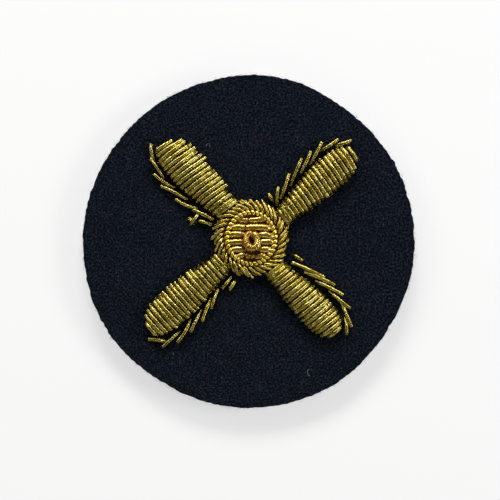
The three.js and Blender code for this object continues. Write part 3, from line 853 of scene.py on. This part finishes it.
def disc(name, node, material, trim, seed, spokes=360, rings=60, dent=None):
    """A disc of cloth with the badge's hand-cut outline: top, cut edge and underside. Gives the
    piece and its area."""
    low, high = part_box(node)
    turn = 2 * math.pi * np.arange(spokes) / spokes
    edge = np.interp(np.degrees(turn), np.arange(360), outline(node), period=360) - trim
    for i, (fewest, most, size) in enumerate(CUT_WANDER):
        edge = edge + waves(spokes, fewest, most, size * MM, seed + i)
    layers = [(edge * i / rings, high.z) for i in range(1, rings)]
    for bulge, share in CUT_EDGE:
        layers.append((edge + (bulge - 0.12) * MM, low.z + (high.z - low.z) * share))
    layers += [(edge * i / 12, low.z) for i in range(11, 0, -1)]
    rows = []
    for radius, height in layers:
        rows.append(np.stack([radius * np.cos(turn), radius * np.sin(turn),
                              np.full(spokes, float(height))], axis=-1))
    flat = np.concatenate([[[0, 0, high.z]], *rows, [[0, 0, low.z]]])
    index = 1 + np.arange(len(rows) * spokes).reshape(len(rows), spokes)
    faces = [[0, a, b] for a, b in zip(index[0], np.roll(index[0], -1))]
    upper, lower = index[:-1], index[1:]
    quads = np.stack([upper, lower, np.roll(lower, -1, axis=1), np.roll(upper, -1, axis=1)], axis=-1)
    faces += quads.reshape(-1, 4).tolist()
    last = len(flat) - 1
    faces += [[last, b, a] for a, b in zip(index[-1], np.roll(index[-1], -1))]
    if dent:
        top = np.arange(len(flat)) <= (rings - 1) * spokes
        flat[top, 2] += dent(flat[top])
    piece = make_piece(name, [(flat, faces, np.zeros(len(flat)))], material, [node])
    return piece, float(np.mean(edge ** 2) * math.pi)


# How deep the stitches draw the felt down beside the embroidery, and how far out, in mm.
DENT_DEPTH = 0.10
DENT_WIDTH = 0.7


def felt_dents(points):
    """The felt is drawn down a little where the stitches round the embroidery pull on it."""
    nodes = [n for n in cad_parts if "purl_field" in n or "edge_chip" in n or n == "hub_purl_ring"]
    feet = np.concatenate([node_points(n) for n in nodes])
    feet = feet[feet[:, 2] < WORK_BASE + 0.25 * MM]
    tree = KDTree(len(feet))
    for i, foot in enumerate(feet):
        tree.insert(Vector(foot * [1, 1, 0]), i)
    tree.balance()
    gaps = np.array([tree.find(Vector((x, y, 0)))[2] for x, y, _ in points])
    return -DENT_DEPTH * MM * np.exp(-(gaps / (DENT_WIDTH * MM)) ** 2) - 0.02 * MM


# The felt's loose fibres: the share that sticks out of its cut edge, and the ranges of their
# length, radius, arch over the face and reach past the edge, in mm.
FIBRES_AT_EDGE = 0.12
FIBRE_LENGTH = (0.5, 1.5)
FIBRE_RADIUS = (0.009, 0.015)
FIBRE_ARCH = (0.06, 0.13)
FIBRE_REACH = (0.15, 0.4)


def felt_fibres(count=3000):
    """Loose fibres of the milled wool, lying over its face and out of its cut edge. Both ends of
    each are rooted in the felt."""
    covers = [node_tree(n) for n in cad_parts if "purl_field" in n or n == "hub_purl_ring"]
    edge = outline("felt_disc")
    parts = []
    while len(parts) < count:
        turn = RANDOM.uniform(0, 360)
        rim = edge[int(turn)] - 0.15 * MM
        at_rim = RANDOM.uniform() < FIBRES_AT_EDGE
        out = rim if at_rim else rim * math.sqrt(RANDOM.uniform())
        middle_point = direction(turn) * out
        if any(under(tree, middle_point) for tree in covers):
            continue
        if math.dist(middle_point, HUB) < 4.9 * MM:
            continue
        length = RANDOM.uniform(*FIBRE_LENGTH) * MM
        heading = RANDOM.uniform(0, 2 * math.pi)
        bend = RANDOM.normal(0, 1.1)
        along = np.linspace(-0.5, 0.5, 7)
        angles = heading + bend * along
        steps = np.stack([np.cos(angles), np.sin(angles), np.zeros(7)], axis=-1) * length / 6
        path = middle_point + np.cumsum(steps, axis=0) - steps.sum(axis=0) / 2
        arch = 1 - (2 * along) ** 2
        path[:, 2] = FELT_TOP - 0.05 * MM + arch * RANDOM.uniform(*FIBRE_ARCH) * MM
        far = np.hypot(path[:, 0], path[:, 1])
        if at_rim:
            path[:, 2] = FELT_TOP - RANDOM.uniform(0.1, 1.6) * MM
            path += (direction(turn) * RANDOM.uniform(*FIBRE_REACH) * MM)[None, :] * arch[:, None]
        elif far.max() > rim:
            continue
        parts.append(fibre(path, RANDOM.uniform(*FIBRE_RADIUS) * MM))
    make_piece("felt_fibres", parts, WOOL)


def fibre(path, radius):
    """A thin closed three-sided tube along a path."""
    tangents = np.gradient(path, axis=0)
    tangents /= np.linalg.norm(tangents, axis=1)[:, None]
    side = np.cross(UP, tangents)
    side /= np.linalg.norm(side, axis=1)[:, None]
    top = np.cross(tangents, side)
    around = 2 * math.pi * np.arange(3) / 3
    rings = (path[:, None, :] + radius * np.cos(around)[None, :, None] * side[:, None, :]
             + radius * np.sin(around)[None, :, None] * top[:, None, :])
    index = np.arange(len(path) * 3).reshape(len(path), 3)
    here, ahead = index[:-1], index[1:]
    turned, turned_ahead = np.roll(here, -1, axis=1), np.roll(ahead, -1, axis=1)
    faces = np.stack([here, turned, turned_ahead, ahead], axis=-1).reshape(-1, 4).tolist()
    faces += [index[0][::-1].tolist(), index[-1].tolist()]
    return rings.reshape(-1, 3), faces, np.zeros(len(path) * 3)


# Broken wire, in mm: the range of its lengths and its radius in a tuft, and the ranges of its
# lengths, its rise over the chips and its radius in fuzz.
TUFT_LENGTH = (0.35, 0.95)
TUFT_RADIUS = 0.06
FUZZ_LENGTH = (0.4, 1.0)
FUZZ_RISE = (0.1, 0.3)
FUZZ_RADIUS = (0.03, 0.055)


def frayed_end(node, count=26):
    """A tuft of fine broken wire at the end of a chip that points away from the hub."""
    points = node_points(node)
    points = points[np.argsort(np.linalg.norm((points - HUB) * [1, 1, 0], axis=1))]
    end = points[-len(points) // 4:].mean(axis=0) * [1, 1, 0]
    parts = []
    for _ in range(count):
        length = RANDOM.uniform(*TUFT_LENGTH) * MM
        share = np.linspace(0, 1, 6)[:, None]
        heading = RANDOM.uniform(0, 360)
        path = end + share * length * direction(heading)
        path = path + share ** 2 * 0.3 * length * direction(heading + 90)
        path[:, 2] = WORK_BASE + (RANDOM.uniform(0.25, 0.6) - 0.2 * share[:, 0]) * MM
        parts.append(fibre(path, TUFT_RADIUS * MM))
    make_piece(node.replace("_edge_chip_", "_frayed_wire_"), parts, ROUGH_GOLD)


# Where the wire is frayed between each blade's root and the hub's ring: its direction and distance
# from the hub in mm, how far the fuzz spreads in mm, and how many broken ends it has.
FRAYED_ROOTS = {"ne": (41, 7.8, 1.2, 90), "nw": (136, 7.7, 0.9, 40), "sw": (222, 8.1, 0.9, 36),
                "se": (304, 7.8, 0.8, 36)}


def frayed_root(name, angle, distance, spread, count):
    """Fuzz of fine broken wire lying on the chips. Both ends of each bit reach down to them."""
    trees = [node_tree(n) for n in (f"blade_{name}_purl_field", "hub_purl_ring")]
    spot = HUB + direction(angle) * distance * MM
    parts = []
    while len(parts) < count:
        start = spot + direction(RANDOM.uniform(0, 360)) * spread * MM * math.sqrt(RANDOM.uniform())
        heading = RANDOM.uniform(0, 360)
        length = RANDOM.uniform(*FUZZ_LENGTH) * MM
        ends = [start, start + direction(heading) * length]
        heights = []
        for end in ends:
            hits = [hit.z for hit in (under(tree, end) for tree in trees) if hit]
            heights.append(max(hits, default=None))
        if None in heights:
            continue
        share = np.linspace(0, 1, 7)[:, None]
        bow = RANDOM.normal(0, 0.25) * length * direction(heading + 90)
        path = start + share * (ends[1] - start) + np.sin(math.pi * share) * bow
        rise = RANDOM.uniform(*FUZZ_RISE) * MM
        arc = heights[0] + share * (heights[1] - heights[0]) + np.sin(math.pi * share) * rise
        path[:, 2] = arc[:, 0]
        parts.append(fibre(path - UP * 0.04 * MM, RANDOM.uniform(*FUZZ_RADIUS) * MM))
    make_piece(f"blade_{name}_frayed_root", parts, ROUGH_GOLD)


# Pale lint caught on the felt: where it lies from the badge's centre, its length, its heading and
# how far it curls, in degrees.
LINT_SPOTS = [(-7.2, 17.0, 1.6, 30, 250), (-13.7, -20.5, 0.35, 60, 20), (11.1, -23.0, 1.8, 200, 140)]


def lint():
    """Specks and curls of lint on the felt."""
    parts = []
    for x, y, length, heading, curl in LINT_SPOTS:
        share = np.linspace(0, 1, 14)
        angles = np.radians(heading + curl * share)
        steps = np.stack([np.cos(angles), np.sin(angles), np.zeros(14)], axis=-1) * length / 14
        path = (np.cumsum(steps, axis=0) + [x, y, 0]) * MM
        path[:, 2] = FELT_TOP + 0.05 * MM * np.sin(math.pi * share) - 0.01 * MM
        parts.append(fibre(path, 0.025 * MM))
    make_piece("felt_lint", parts, LINT)


felt, felt_area = disc("felt_disc_wool", "felt_disc", FELT, 0.02 * MM,
                       spokes=720, rings=110, dent=felt_dents, seed=3)
buckram, buckram_area = disc("buckram_cloth", "buckram_stiffener", BUCKRAM,
                             0.25 * MM, seed=5)
lining, lining_area = disc("lining_cloth_weave", "lining_cloth", LINING, 0.15 * MM, seed=7)

felt_fibres()
lint()
frayed_end("blade_nw_edge_chip_8")
for blade, place in FRAYED_ROOTS.items():
    frayed_root(blade, *place)

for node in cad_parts:
    if node.endswith("back_threads"):
        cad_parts[node].data.materials.clear()
        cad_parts[node].data.materials.append(THREAD)

# ---- Stage, light and camera ----


# The floor's profile, as (distance out, height) in metres: flat, then rising to a low rim far off,
# which closes the view at table height.
FLOOR_PROFILE = [(2.0, 0.0), (2.2, 0.004), (2.4, 0.015), (2.6, 0.032), (2.8, 0.055), (3.0, 0.085)]


def floor():
    """A round grey floor a little below the badge. A glow of its own makes it nearly white."""
    mesh = bpy.data.meshes.new("floor")
    spokes = 64
    vertices = [(0, 0, 0)]
    for out, height in FLOOR_PROFILE:
        vertices += [tuple(direction(360 * j / spokes) * out + UP * height) for j in range(spokes)]
    faces = [(0, 1 + j, 1 + (j + 1) % spokes) for j in range(spokes)]
    for i in range(len(FLOOR_PROFILE) - 1):
        inner, outer = 1 + i * spokes, 1 + (i + 1) * spokes
        faces += [(inner + j, outer + j, outer + (j + 1) % spokes, inner + (j + 1) % spokes)
                  for j in range(spokes)]
    mesh.from_pydata(vertices, [], faces)
    mesh.shade_smooth()
    shade = Shade("pale_floor")
    shade.set(Base_Color=(0.56, 0.56, 0.56, 1), Roughness=0.9, Specular_IOR_Level=0.1,
              Emission_Color=(0.96, 0.975, 1, 1), Emission_Strength=0.585)
    mesh.materials.append(shade.material)
    plane = bpy.data.objects.new("floor", mesh)
    plane.location.z = -0.00002
    bpy.context.scene.collection.objects.link(plane)


# Soft boxes round the badge: their distance and size in metres, their elevation in degrees, and
# the power in watts of the one at each azimuth. The strongest are above the badge in the picture
# and to its right.
LAMP_DISTANCE = 0.8
LAMP_SIZE = (0.35, 0.2)
LAMP_ELEVATION = 27
SOFT_BOXES = {0: 1.75, 45: 0.5, 90: 3.0, 105: 1.0, 135: 0.7, 150: 0.5, 240: 0.2, 270: 0.2, 300: 0.1}


def soft_box(azimuth, power):
    """A rectangular lamp that faces the badge."""
    light = bpy.data.lights.new(f"soft_box_{azimuth}", "AREA")
    light.shape = "RECTANGLE"
    light.size, light.size_y = LAMP_SIZE
    light.energy = power
    lamp = bpy.data.objects.new(light.name, light)
    level = math.radians(LAMP_ELEVATION)
    aim = direction(azimuth) * math.cos(level) + UP * math.sin(level)
    lamp.location = aim * LAMP_DISTANCE
    lamp.rotation_euler = Vector(aim).to_track_quat("Z", "Y").to_euler()
    bpy.context.scene.collection.objects.link(lamp)


# The camera's place over the badge and its height, the width that it frames at the felt's face,
# and its sensor's width in millimetres.
CAMERA_PLACE = (0.00023, -0.00155, 0.9)
FRAME_WIDTH = 0.0903
SENSOR = 36


def camera():
    """Straight above, far enough away that the raised work hardly spreads."""
    view = bpy.data.cameras.new("camera")
    view.sensor_width = SENSOR
    view.lens = SENSOR * (CAMERA_PLACE[2] - FELT_TOP) / FRAME_WIDTH
    view.clip_end = 10
    holder = bpy.data.objects.new("camera", view)
    holder.location = CAMERA_PLACE
    bpy.context.scene.collection.objects.link(holder)
    bpy.context.scene.camera = holder


def studio():
    """A dim warm world, which lights the gaps that the soft boxes don't reach."""
    world = bpy.data.worlds.new("studio")
    world.use_nodes = True
    background = world.node_tree.nodes["Background"]
    background.inputs["Color"].default_value = (1.0, 0.90, 0.68, 1)
    background.inputs["Strength"].default_value = 0.15
    bpy.context.scene.world = world
    bpy.context.scene.view_settings.view_transform = "Standard"


floor()
for azimuth, power in SOFT_BOXES.items():
    soft_box(azimuth, power)
studio()
camera()
